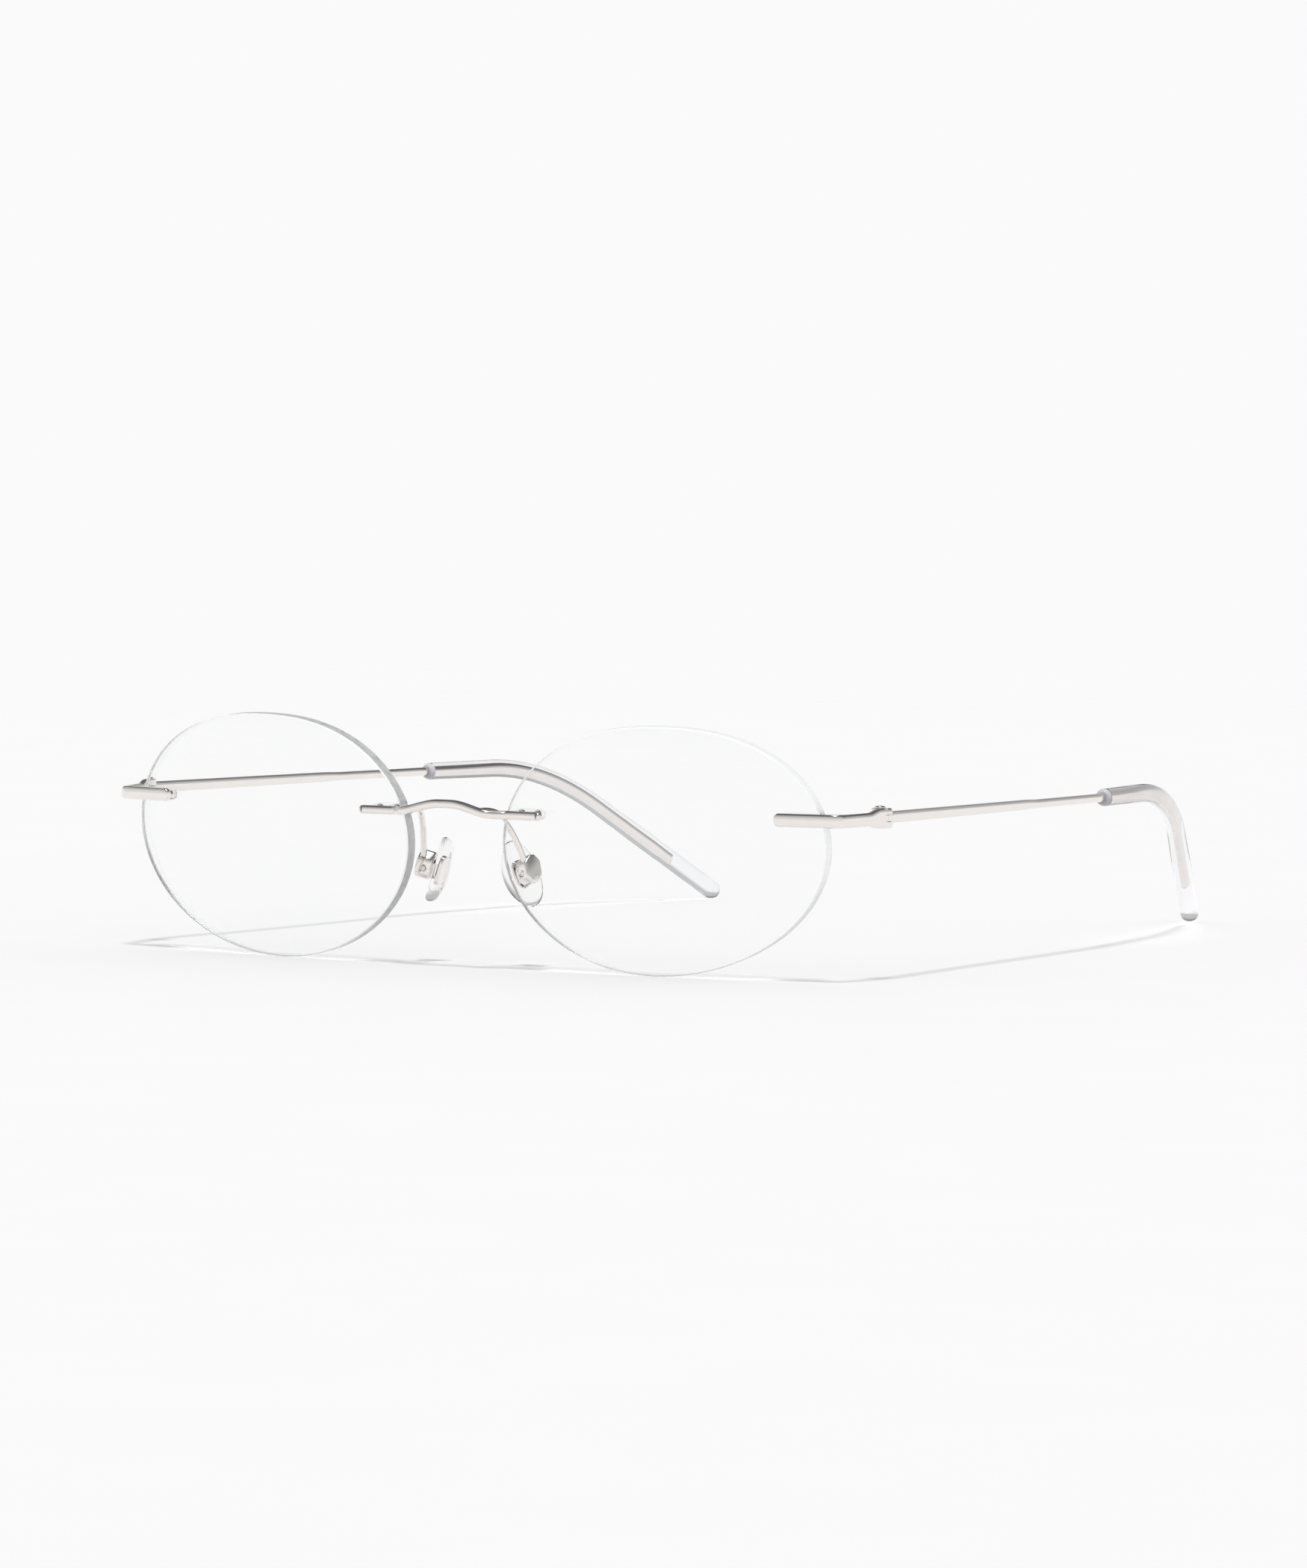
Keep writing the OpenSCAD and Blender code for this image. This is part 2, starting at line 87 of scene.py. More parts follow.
ARM = [
    Vector((5.4, -3, 22.75)), Vector((6.67, 1.03, 23.23)),
    Vector((7.53, 3.24, 21.4)), Vector((8.87, 5.42, 14.95)),
]
ARM_FROM, ARM_TO = 0.03, 0.975

# Camera and light
CAMERA_TARGET = Vector((32.69, -73.02, 27.46))
CAMERA_AZIMUTH, CAMERA_ELEVATION, CAMERA_ROLL = 30.44, 3.0, 0.48
CAMERA_DISTANCE, CAMERA_LENS = 1031.8, 168.09
PAPER, PAPER_ALBEDO, PAPER_MOTTLE = 0.956, 0.55, 0.002
TABLE_SIZE, TABLE_FADE = 6, (0.35, 1.2)
SUN_FROM, SUN_WIDTH = Vector((0.125, -0.25, 1.0)), 8.0

# The mirrored room: how bright its parts are, and between which directions each one fades in. The
# directions are Y or Z of a unit vector. Z is 0 at the horizon and 1 straight up.
FRONT_LIGHT, WALL_LIGHT, CEILING_LIGHT, OVERHEAD_LIGHT = 0.78, 0.5, 0.14, 1.6
FRONT_HALF, HORIZON, OVERHEAD = (0.25, -0.15), (-0.02, 0.02), (0.95, 0.985)
WALL_BEHIND, WALL_IN_FRONT = (0.02, 0.2), (0.2, 0.4)
CEILING_BEHIND, CEILING_IN_FRONT = (0.28, 0.55), (0.62, 0.8)

# How much of that room refracted rays see, and the cut in the white light that reaches the table through
# clear pieces, where shadow rays bring it too
SEEN_THROUGH, COUNTED_TWICE = 0.2, 0.3


# ---- helpers for places ----

def turn(x=0.0, y=0.0, z=0.0):
    """Rotation by degrees about X, then Y, then Z."""
    rx, ry, rz = (Matrix.Rotation(math.radians(a), 4, k) for a, k in ((x, "X"), (y, "Y"), (z, "Z")))
    return rz @ ry @ rx


def shift(x=0.0, y=0.0, z=0.0):
    return Matrix.Translation((x, y, z))


def smooth(t):
    t = min(max(t, 0.0), 1.0)
    return t * t * (3 - 2 * t)


def lens_matrix():
    """The lens's own axes: x outward, y up, z out of the front face."""
    return shift(LENS_X, 0, LENS_Z) @ turn(z=WRAP) @ turn(x=LEAN + 90)


def spot_matrix(spot):
    """A place on the lens's front face, with z along its normal."""
    u, v = spot
    tip = turn(x=-math.degrees(math.asin(v / LENS_R)), y=math.degrees(math.asin(u / LENS_R)))
    return lens_matrix() @ shift(z=-LENS_R) @ tip @ shift(z=LENS_R)


def hinge_matrix():
    yaw = BAR_YAW + BEND_A
    end = end_piece_path()[-1]
    back = Vector((math.cos(math.radians(yaw)), math.sin(math.radians(yaw)), 0))
    inward = Vector((-back.y, back.x, 0))
    at = end - HINGE_BACK * back + HINGE_IN * inward
    return shift(at.x, at.y, HINGE_Z) @ turn(z=yaw - 90)


def end_piece_path():
    """Middle line of the bar in front of the lens, the bend and the hinge plate."""
    yaw = math.radians(BAR_YAW)
    line = Vector((math.cos(yaw), math.sin(yaw), 0))
    start = Vector((BAR_START.x, BAR_START.y, BAR_Z))
    points = [start + line * BAR_L * i / 16 for i in range(17)]
    middle = points[-1] + BEND_R * Vector((-line.y, line.x, 0))
    steps = 16
    for i in range(1, steps + 1):
        a = yaw + math.radians(BEND_A) * i / steps
        points.append(middle + BEND_R * Vector((math.sin(a), -math.cos(a), 0)))
    back = Vector((math.cos(a), math.sin(a), 0))
    corner = points[-1]
    for i in range(1, 31):
        rise = (HINGE_Z - BAR_Z) * smooth(i / 30)
        points.append(corner + back * PLATE_L * i / 30 + Vector((0, 0, rise)))
    return points


class Walk:
    """A middle line drawn as straight stretches and bends, with the distance at each point."""

    def __init__(self, at):
        self.at = at
        self.points = [at.to_translation()]

    def straight(self, length, steps):
        start = self.at
        for i in range(1, steps + 1):
            self.at = start @ shift(z=length * i / steps)
            self.points.append(self.at.to_translation())

    def bend(self, radius, angle, direction, steps=24):
        start = self.at @ turn(z=direction) @ shift(x=radius)
        for i in range(1, steps + 1):
            self.at = start @ turn(y=angle * i / steps) @ shift(x=-radius) @ turn(z=-direction)
            self.points.append(self.at.to_translation())


def temple_walk():
    walk = Walk(shift(*TEMPLE_START) @ turn(z=TEMPLE_IN) @ turn(x=-90 - TEMPLE_DROP))
    walk.straight(TEMPLE_STRAIGHT, 40)
    walk.bend(*IN_BEND)
    walk.straight(TIP_STRAIGHT, 24)
    walk.bend(*EAR_BEND, steps=48)
    walk.straight(TIP_LAST, 40)
    return walk.points


def along(points):
    """Distance from the first point to each point."""
    total, out = 0.0, [0.0]
    for p, q in zip(points, points[1:]):
        total += (q - p).length
        out.append(total)
    return out


# ---- helpers for meshes ----

def oval(w, h, power=2.0, count=40):
    """Offsets round a superellipse w wide and h high: power 2 is an ellipse, 5 a soft rectangle."""
    out = []
    for k in range(count):
        c, s = math.cos(math.tau * k / count), math.sin(math.tau * k / count)
        x = math.copysign(abs(c) ** (2 / power), c)
        y = math.copysign(abs(s) ** (2 / power), s)
        out.append((x * w / 2, y * h / 2))
    return out


def mesh_object(name, verts, faces, side=1, face_slots=None):
    """A smooth mesh from points in millimetres; side -1 mirrors it across the middle of the glasses."""
    bm = bmesh.new()
    made = [bm.verts.new((side * v[0] * MM, (v[1] - ORIGIN_Y) * MM, v[2] * MM)) for v in verts]
    for i, f in enumerate(faces):
        face = bm.faces.new([made[k] for k in f])
        face.smooth = True
        if face_slots:
            face.material_index = face_slots[i]
    bmesh.ops.recalc_face_normals(bm, faces=bm.faces)
    mesh = bpy.data.meshes.new(name)
    bm.to_mesh(mesh)
    bm.free()
    piece = bpy.data.objects.new(name, mesh)
    bpy.context.scene.collection.objects.link(piece)
    return piece


def loft(rings):
    """Points and faces of a closed skin over rings of equal length."""
    n = len(rings[0])
    verts = [p for ring in rings for p in ring]
    faces = [
        (i * n + k, i * n + (k + 1) % n, (i + 1) * n + (k + 1) % n, (i + 1) * n + k)
        for i in range(len(rings) - 1) for k in range(n)
    ]
    faces.append(tuple(range(n)))
    faces.append(tuple(len(verts) - n + k for k in range(n)))
    return verts, faces


def sweep_rings(points, sections, up=Vector((0, 0, 1))):
    """Rings of section offsets set square to the line through points."""
    rings = []
    last = len(points) - 1
    for i, (p, section) in enumerate(zip(points, sections)):
        along_line = (points[min(i + 1, last)] - points[max(i - 1, 0)]).normalized()
        side = along_line.cross(up).normalized()
        top = side.cross(along_line)
        rings.append([p + side * a + top * b for a, b in section])
    return rings


def resample(points, distances):
    """Points at the given distances along a line of points."""
    marks = along(points)
    out, j = [], 0
    for d in distances:
        while j < len(marks) - 2 and marks[j + 1] < d:
            j += 1
        t = (d - marks[j]) / (marks[j + 1] - marks[j])
        out.append(points[j].lerp(points[j + 1], t))
    return out


def spin_rings(profile, place, count=48):
    """Rings of a turned shape: profile is (radius, height) pairs about z of place."""
    return [
        [place @ Vector((r * math.cos(math.tau * k / count), r * math.sin(math.tau * k / count), z))
         for k in range(count)]
        for r, z in profile
    ]


def rounded_end(near, radius):
    """How far the surface of a bar is drawn in at the distance near from its rounded end."""
    return radius - math.sqrt(max(radius * radius - (radius - near) ** 2, 0)) if near < radius else 0.0


def rounded_bar(r, low, high, edge):
    """Profile of a turned bar with rounded edges."""
    steps = [i * math.pi / 8 for i in range(5)]
    bottom = [(r - edge + edge * math.sin(a), low + edge - edge * math.cos(a)) for a in steps]
    top = [(r - edge + edge * math.cos(a), high - edge + edge * math.sin(a)) for a in steps]
    return bottom + top


def merge(*shapes):
    """Points and faces of several closed skins as one."""
    verts, faces = [], []
    for v, f in shapes:
        faces += [tuple(k + len(verts) for k in face) for face in f]
        verts += v
    return verts, faces


def box_shape(size, place):
    """Points and faces of a box about the origin of place."""
    verts = [
        place @ Vector((x * size[0] / 2, y * size[1] / 2, z * size[2] / 2))
        for x in (-1, 1) for y in (-1, 1) for z in (-1, 1)
    ]
    faces = [(0, 1, 3, 2), (4, 6, 7, 5), (0, 4, 5, 1), (2, 3, 7, 6), (0, 2, 6, 4), (1, 5, 7, 3)]
    return verts, faces


def carve(piece, joined=(), cut=(), bevel=0.06):
    """Adds and cuts away helper shapes, then eases the edges so that they catch the light."""
    for shape, operation in [(s, "UNION") for s in joined] + [(s, "DIFFERENCE") for s in cut]:
        helper = mesh_object("helper", *shape, side=piece["side"])
        modifier = piece.modifiers.new("carve", "BOOLEAN")
        modifier.operation = operation
        modifier.object = helper
        modifier.solver = "EXACT"
        graph = bpy.context.evaluated_depsgraph_get()
        mesh = bpy.data.meshes.new_from_object(piece.evaluated_get(graph))
        piece.modifiers.clear()
        piece.data = mesh
        bpy.data.objects.remove(helper)
    for polygon in piece.data.polygons:
        polygon.use_smooth = True
    piece.data.set_sharp_from_angle(angle=math.radians(SHARP_ANGLE))
    if bevel:
        ease = piece.modifiers.new("ease", "BEVEL")
        ease.width = bevel * MM
        ease.segments = 2
        ease.limit_method = "ANGLE"
        ease.angle_limit = math.radians(EASED_ANGLE)
        ease.harden_normals = True


def place_piece(piece, body, slot, material, *nodes):
    if piece.data.materials:
        piece.data.materials.clear()
    for m in material if isinstance(material, (list, tuple)) else [material]:
        piece.data.materials.append(m)
    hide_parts(*nodes)
    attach(piece, body)
    return piece


# ---- materials ----

class Paint:
    """A node material with its Principled shader and the tools to vary it over the surface."""

    LOW_NOISE, HIGH_NOISE = 0.3, 0.7

    def __init__(self, name, **values):
        self.material = bpy.data.materials.new(name)
        self.material.use_nodes = True
        self.tree = self.material.node_tree
        self.shader = self.tree.nodes["Principled BSDF"]
        self.output = self.tree.nodes["Material Output"]
        for key, value in values.items():
            self.shader.inputs[key.replace("_", " ")].default_value = value
        self.place = self.node("ShaderNodeTexCoord").outputs["Object"]

    def node(self, kind, **inputs):
        made = self.tree.nodes.new(kind)
        for key, value in inputs.items():
            made.inputs[key.replace("_", " ")].default_value = value
        return made

    def link(self, source, target):
        self.tree.links.new(source, target)

    def noise(self, scale, detail=3.0):
        made = self.node("ShaderNodeTexNoise", Scale=scale, Detail=detail)
        self.link(self.place, made.inputs["Vector"])
        return made.outputs["Fac"]

    def vary(self, source, socket, low, high):
        """Drives a socket between low and high by a noise."""
        ranger = self.node("ShaderNodeMapRange")
        self.link(source, ranger.inputs["Value"])
        ranger.inputs["From Min"].default_value = self.LOW_NOISE
        ranger.inputs["From Max"].default_value = self.HIGH_NOISE
        ranger.inputs["To Min"].default_value = low
        ranger.inputs["To Max"].default_value = high
        self.link(ranger.outputs["Result"], self.shader.inputs[socket])

    def tint(self, source, low, high):
        """Drives the base colour between two colours by a noise."""
        ramp = self.node("ShaderNodeValToRGB")
        stops = zip(ramp.color_ramp.elements, (self.LOW_NOISE, self.HIGH_NOISE), (low, high))
        for stop, position, colour in stops:
            stop.position, stop.color = position, (*colour, 1)
        self.link(source, ramp.inputs["Fac"])
        self.link(ramp.outputs["Color"], self.shader.inputs["Base Color"])

    def bump(self, source, height, strength=0.3):
        bumper = self.node("ShaderNodeBump", Strength=strength, Distance=height * MM)
        self.link(source, bumper.inputs["Height"])
        self.link(bumper.outputs["Normal"], self.shader.inputs["Normal"])

    def clear_shadow(self, tint=0.9):
        """Lets lamps shine through, as clear plastic does when its caustics are counted."""
        mix = self.node("ShaderNodeMixShader")
        glass = self.node("ShaderNodeBsdfTransparent", Color=(tint, tint, tint, 1))
        path = self.node("ShaderNodeLightPath")
        self.link(path.outputs["Is Shadow Ray"], mix.inputs["Fac"])
        self.link(self.shader.outputs["BSDF"], mix.inputs[1])
        self.link(glass.outputs["BSDF"], mix.inputs[2])
        self.link(mix.outputs["Shader"], self.output.inputs["Surface"])


def polished_metal(name, colour, rough):
    paint = Paint(name, Metallic=1.0)
    handling = paint.noise(260)
    paint.tint(handling, [c * 0.97 for c in colour], colour)
    paint.vary(paint.noise(900), "Roughness", rough * 0.7, rough * 1.3)
    paint.bump(paint.noise(5200, 2), 0.004, 0.25)
    return paint.material


def clear_plastic(name, colour, rough, ior, shadow):
    paint = Paint(name, IOR=ior, Transmission_Weight=1.0)
    paint.tint(paint.noise(180), [c * 0.985 for c in colour], colour)
    paint.vary(paint.noise(700), "Roughness", rough * 0.6, rough * 1.4)
    paint.bump(paint.noise(1300), 0.01, 0.2)
    paint.clear_shadow(shadow)
    return paint.material


def lens_face():
    """Coated lens: clear and polished, with a trace of handling."""
    paint = Paint("lens_face", IOR=1.5, Transmission_Weight=1.0)
    paint.tint(paint.noise(35), (0.985, 0.992, 0.988), (0.992, 0.996, 0.993))
    paint.vary(paint.noise(60), "Roughness", 0.0, 0.012)
    paint.clear_shadow(0.96)
    return paint.material


def frosted(name, low, high, through):
    """Ground or matt rim of a clear piece: soft and partly translucent, pale on the lens edge. On the tip's
    mouth its dark grey is painted shade.
    """
    paint = Paint(name, IOR=1.3, Transmission_Weight=through)
    paint.tint(paint.noise(90), low, high)
    paint.vary(paint.noise(1500), "Roughness", 0.3, 0.5)
    paint.bump(paint.noise(3000), 0.006, 0.3)
    paint.clear_shadow(0.6)
    return paint.material


METAL = polished_metal("frame_metal", (0.885, 0.845, 0.815), 0.08)
SCREW_METAL = polished_metal("screw_metal", (0.80, 0.785, 0.77), 0.16)
TIP_PLASTIC = clear_plastic("tip_plastic", (0.965, 0.965, 0.985), 0.04, 1.3, 0.9)
# Dark grey on the clear sleeve's mouth is painted shade: it stands in for the darker look that refraction
# and reflection give the mouth.
TIP_MOUTH_PAINTED_SHADE = frosted("tip_mouth_painted_shade", (0.42, 0.415, 0.44), (0.50, 0.49, 0.52), 0.1)
PAD_SILICONE = clear_plastic("pad_silicone", (0.98, 0.98, 0.985), 0.06, 1.18, 0.92)
BUSHING_PLASTIC = clear_plastic("bushing_plastic", (0.98, 0.985, 0.99), 0.05, 1.12, 0.94)
LENS_FACE = lens_face()
LENS_EDGE = frosted("lens_edge", (0.86, 0.863, 0.877), (0.91, 0.913, 0.927), 0.76)


# ---- lenses and what holds them ----

def rim(t):
    """Distance of the lens outline from its middle at angle t: an ellipse with small waves on it."""
    waves = OUTLINE_COS3 * math.cos(3 * t) + OUTLINE_SIN3 * math.sin(3 * t) + OUTLINE_COS4 * math.cos(4 * t)
    return (1 + waves) / math.hypot(math.cos(t) / (LENS_W / 2), math.sin(t) / (LENS_H / 2))


def lens(side):
    """Two curved faces and an edge with a narrow safety bevel."""
    count, bevel = 240, 0.16
    place = lens_matrix() @ turn(z=OUTLINE_TURN)
    outline = [rim(math.tau * k / count) for k in range(count)]

    def ring(share, inset, depth):
        points = []
        for k, r in enumerate(outline):
            t = math.tau * k / count
            u, v = (r * share - inset) * math.cos(t), (r * share - inset) * math.sin(t)
            points.append(place @ Vector((u, v, -(u * u + v * v) / (2 * LENS_R) - depth)))
        return points

    shares = [0.05 + 0.1 * i for i in range(10)]
    rings = [ring(s, 0, 0) for s in shares]
    rings += [ring(1, bevel, 0), ring(1, 0, bevel), ring(1, 0, LENS_T - bevel), ring(1, bevel, LENS_T)]
    rings += [ring(s, 0, LENS_T) for s in reversed(shares)]
    verts, faces = loft(rings)
    edge_rows = range(len(shares), len(shares) + 3)
    slots = [1 if i // count in edge_rows else 0 for i in range(len(faces) - 2)] + [0, 0]
    piece = mesh_object(f"lens_glass_{side}", verts, faces, SIDES[side], slots)
    piece.data.set_sharp_from_angle(angle=math.radians(30))
    place_piece(piece, "front", "lens", [LENS_FACE, LENS_EDGE], f"lens_{side}")


def posts(spot, reach):
    """The two metal posts that pass through the lens and reach some way in front of it."""
    place = spot_matrix(spot)
    return [
        loft(spin_rings(rounded_bar(POST_R, -LENS_T - BUSH_T, reach, 0.08), place @ shift(x=x), 24))
        for x in (-POST_STEP, POST_STEP)
    ]


def bushing(name, spot, side, node):
    """Clear plate behind the lens, with a sleeve round each post."""
    place = spot_matrix(spot)
    back = -LENS_T - BUSH_CLEAR - BUSH_T
    rings = []
    for inset, z in ((0.25, 0), (0.06, 0.06), (0, 0.2), (0, BUSH_T - 0.1), (0.08, BUSH_T)):
        outline = oval(BUSH_L - 2 * inset, BUSH_H - 2 * inset, 3.2, 64)
        rings.append([place @ Vector((a, b, back + z)) for a, b in outline])
    sleeves = [
        loft(spin_rings(rounded_bar(SLEEVE_R, back + BUSH_T / 2, -0.16, 0.06), place @ shift(x=x), 32))
        for x in (-POST_STEP, POST_STEP)
    ]
    verts, faces = merge(loft(rings), *sleeves)
    piece = mesh_object(name, verts, faces, SIDES[side])
    place_piece(piece, "front", "bushing_plastic", BUSHING_PLASTIC, node)


# ---- bridge ----

def bridge_point(x):
    a = abs(x)
    bow = BRIDGE_BOW * smooth((BRIDGE_BOW_X - a) / BRIDGE_BOW_L)
    rise = BRIDGE_RISE * smooth((BRIDGE_RISE_X - a) / BRIDGE_RISE_L)
    return Vector((x, BRIDGE_Y + BRIDGE_SLOPE * (a - BRIDGE_BAR_X) - bow, BRIDGE_Z + rise))


def bridge():
    half = BRIDGE_D / 2
    xs, sizes = [], []
    for i in range(6):
        a = math.radians(85 - 17 * i)
        xs.append(-BRIDGE_END - half * math.sin(a))
        sizes.append(math.cos(a))
    xs += [BRIDGE_END * i / 60 for i in range(-60, 61)]
    sizes += [1.0] * 121
    xs += [-x for x in reversed(xs[:6])]
    sizes += list(reversed(sizes[:6]))
    sections = [oval(BRIDGE_D * s, BRIDGE_D * s, 2.3) for s in sizes]
    wire = loft(sweep_rings([bridge_point(x) for x in xs], sections))
    pins = posts(INNER_SPOT, BRIDGE_D / 2)
    mirrored = [([Vector((-v.x, v.y, v.z)) for v in verts], faces) for verts, faces in pins]
    verts, faces = merge(wire, *pins, *mirrored)
    piece = mesh_object("bridge_wire", verts, faces)
    place_piece(piece, "front", "frame_metal", METAL, "bridge")


# ---- end pieces, hinges and temples ----

def end_piece(side):
    points = end_piece_path()
    total = along(points)[-1]
    bend_end = total - PLATE_L
    near_end = [0.0, 0.02, 0.06, 0.13, 0.22, 0.34, 0.48, 0.62]
    inner = [m for m in (total * i / 90 for i in range(91)) if 0.7 < m < total - 0.3]
    marks = near_end + inner + [total - 0.28, total - 0.14, total - 0.05, total]
    sections = []
    for m in marks:
        flare = smooth((m - bend_end - FLARE_AT) / FLARE_L)
        height = BAR_H + (HINGE_H - BAR_H) * flare
        thick = BAR_T + (PLATE_T - BAR_T) * smooth((m - bend_end) / 3)
        inset = rounded_end(min(m, total - m), 0.66 if m < total / 2 else 0.25)
        sections.append(oval(thick - 0.9 * inset, height - 2 * inset, 2.9 + 1.3 * flare, 56))
    rings = sweep_rings(resample(points, marks), sections)
    hinge = hinge_matrix()
    piece = mesh_object(f"end_piece_bar_{side}", *loft(rings), SIDES[side])
    piece["side"] = SIDES[side]
    barrel = loft(spin_rings(rounded_bar(KNUCKLE_R, -HINGE_H / 2, HINGE_H / 2, 0.1), hinge))
    gap = KNUCKLE_H + 2 * HINGE_PLAY
    pocket = loft(spin_rings([(KNUCKLE_R + 0.1, -gap / 2), (KNUCKLE_R + 0.1, gap / 2)], hinge))
    slot = box_shape((6, 3, gap), hinge @ shift(y=1.45))
    bore = loft(spin_rings([(SCREW_R + 0.02, -3), (SCREW_R + 0.02, 3)], hinge, 32))
    carve(piece, joined=[barrel, *posts(OUTER_SPOT, BAR_REACH)], cut=[pocket, slot, bore])
    place_piece(piece, "front", "frame_metal", METAL, f"end_piece_{side}")


def hinge_screw(side):
    hinge = hinge_matrix()
    top, band = HINGE_H / 2 + 0.02, 0.1
    shank = loft(spin_rings(rounded_bar(SCREW_R, -HINGE_H / 2, top + 0.05, 0.08), hinge, 32))
    head = [(0.05, top), (SCREW_HEAD_R, top), (SCREW_HEAD_R, top + band)]
    head += [
        (SCREW_HEAD_R * math.cos(a), top + band + (SCREW_HEAD_H - band) * math.sin(a))
        for a in (math.radians(x) for x in (15, 30, 45, 60, 75, 86))
    ]
    verts, faces = merge(shank, loft(spin_rings(head, hinge)))
    piece = mesh_object(f"hinge_screw_turned_{side}", verts, faces, SIDES[side])
    piece["side"] = SIDES[side]
    slot = box_shape((3, 0.24, 0.4), hinge @ shift(z=top + SCREW_HEAD_H))
    carve(piece, cut=[slot], bevel=0.02)
    place_piece(piece, "front", "screw_metal", SCREW_METAL, f"hinge_screw_{side}")


def temple(side):
    """Knuckle, flat bar that steps down to a slimmer rear, and the flat core inside the clear tip."""
    points = temple_walk()
    total = along(points)[-1]
    mouth = TEMPLE_STRAIGHT + math.radians(IN_BEND[1]) * IN_BEND[0]
    end = total - CORE_END
    marks = [0.12, 0.16, 0.24, 0.38]
    marks += [0.5 + (mouth - 3.5) * i / 60 for i in range(61)]
    marks += [mouth - 2.8 + 0.2 * i for i in range(16)]
    marks += [mouth + 0.5 + (end - mouth - 1.2) * i / 90 for i in range(91)]
    marks += [end - 0.5, end - 0.3, end - 0.15, end - 0.05, end]
    sections = []
    for m in marks:
        step = smooth((m - TEMPLE_STEP_AT) / TEMPLE_STEP_L)
        neck = smooth((m - mouth + 0.6) / 1.6)
        flat = smooth((m - mouth - 2) / 38)
        front_h = TEMPLE_H + (TEMPLE_STEP_H - TEMPLE_H) * min(m / TEMPLE_STEP_AT, 1)
        bar_h = front_h + (TEMPLE_REAR_H - TEMPLE_STEP_H) * step
        height = bar_h * (1 - neck) + neck * (NECK_D + (CORE_H - NECK_D) * flat)
        thick = TEMPLE_T * (1 - neck) + neck * (NECK_D + (CORE_T - NECK_D) * flat)
        inset = rounded_end(min(m - marks[0], end - m), 0.3)
        power = 2.5 - 0.3 * step - 0.2 * neck + 0.2 * flat
        sections.append(oval(thick - 1.2 * inset, height - 1.4 * inset, power, 48))
    verts, faces = loft(sweep_rings(resample(points, marks), sections))
    piece = mesh_object(f"temple_bar_{side}", verts, faces, SIDES[side])
    piece["side"] = SIDES[side]
    hinge = hinge_matrix()
    knuckle = loft(spin_rings(rounded_bar(KNUCKLE_R, -KNUCKLE_H / 2, KNUCKLE_H / 2, 0.06), hinge))
    reach = HINGE_BACK + HINGE_STOP + 0.5
    tongue = box_shape((PLATE_T - 0.02, reach, KNUCKLE_H - 0.02), hinge @ shift(x=KNUCKLE_IN, y=reach / 2))
    bore = loft(spin_rings([(SCREW_R + 0.05, -2), (SCREW_R + 0.05, 2)], hinge, 32))
    front = box_shape((6, 4, 0.9 * HINGE_H), hinge @ shift(y=HINGE_BACK + HINGE_STOP - 2))
    carve(piece, cut=[front], bevel=0)
    carve(piece, joined=[knuckle, tongue], cut=[bore], bevel=0.05)
    place_piece(piece, f"{side}_temple", "frame_metal", METAL, f"temple_{side}")


def temple_tip(side):
    """Clear sleeve with a rounded mouth and a rounded end. The mouth carries a dark grey painted shade."""
    points = temple_walk()
    total = along(points)[-1]
    mouth = TEMPLE_STRAIGHT + math.radians(IN_BEND[1]) * IN_BEND[0]
    bend_in, bend_out = mouth + TIP_STRAIGHT, total - TIP_LAST
    gap, lip, lip_rings, sides = 0.02, 0.9, 8, 40
    marks = [mouth + gap + lip * (1 - math.cos(a * math.pi / 16)) for a in range(lip_rings)]
    lip_end = mouth + gap + lip
    marks += [lip_end + (total - lip_end) * i / 150 for i in range(151)]
    sections = []
    for m in marks:
        grow = min((m - mouth) / (bend_in - mouth), 1.0)
        d = TIP_FRONT_D + (TIP_BEND_D - TIP_FRONT_D) * grow
        d += (TIP_END_D - TIP_BEND_D) * min(max((m - bend_out) / TIP_TAPER, 0), 1)
        near = m - mouth - gap
        if near < lip:
            d *= 0.52 + 0.48 * math.sqrt(max(1 - (1 - near / lip) ** 2, 0))
        sections.append(oval(d, d, 2.0, sides))
    line = resample(points, marks)
    direction = (line[-1] - line[-2]).normalized()
    radius = TIP_END_D / 2
    for i in range(1, 9):
        a = math.radians(i * 88 / 8)
        line.append(points[-1] + direction * radius * math.sin(a))
        sections.append(oval(TIP_END_D * math.cos(a), TIP_END_D * math.cos(a), 2.0, sides))
    verts, faces = loft(sweep_rings(line, sections))
    # The mouth's lip and its end face get the dark grey material: painted shade.
    mouth_faces = (lip_rings - 1) * sides
    slots = [1 if i < mouth_faces else 0 for i in range(len(faces) - 2)] + [1, 0]
    piece = mesh_object(f"temple_tip_sleeve_{side}", verts, faces, SIDES[side], slots)
    place_piece(piece, f"{side}_temple", "tip_plastic", [TIP_PLASTIC, TIP_MOUTH_PAINTED_SHADE], f"temple_tip_{side}")


# ---- nose pads ----

def pad_matrix():
    return shift(*PAD_MID) @ turn(*PAD_TURN)


def box_matrix():
    return shift(*BOX_MID) @ turn(*BOX_TURN)


def screw_matrix():
    """Axis of the pad screw, which the pad rocks about."""
    return box_matrix() @ shift(z=-SCREW_DROP) @ turn(x=90)


def pad_arm(side):
    points = []
    for i in range(49):
        t = ARM_FROM + (ARM_TO - ARM_FROM) * i / 48
        n = 1 - t
        points.append(n ** 3 * ARM[0] + 3 * n * n * t * ARM[1] + 3 * n * t * t * ARM[2] + t ** 3 * ARM[3])
    sections = [oval(2 * ARM_R, 2 * ARM_R, 2.0, 32)] * len(points)
    rings = sweep_rings(points, sections, Vector((0, 0.2, 1)))
    piece = mesh_object(f"pad_arm_wire_{side}", *loft(rings), SIDES[side])
    place_piece(piece, "front", "frame_metal", METAL, f"pad_arm_{side}")


def eased(outline, share=0.12):
    """A closed outline with its corners cut twice, so that they look round."""
    for _ in range(2):
        following = outline[1:] + outline[:1]
        outline = [
            (p[0] + (q[0] - p[0]) * k, p[1] + (q[1] - p[1]) * k)
            for p, q in zip(outline, following) for k in (share, 1 - share)
        ]
    return outline


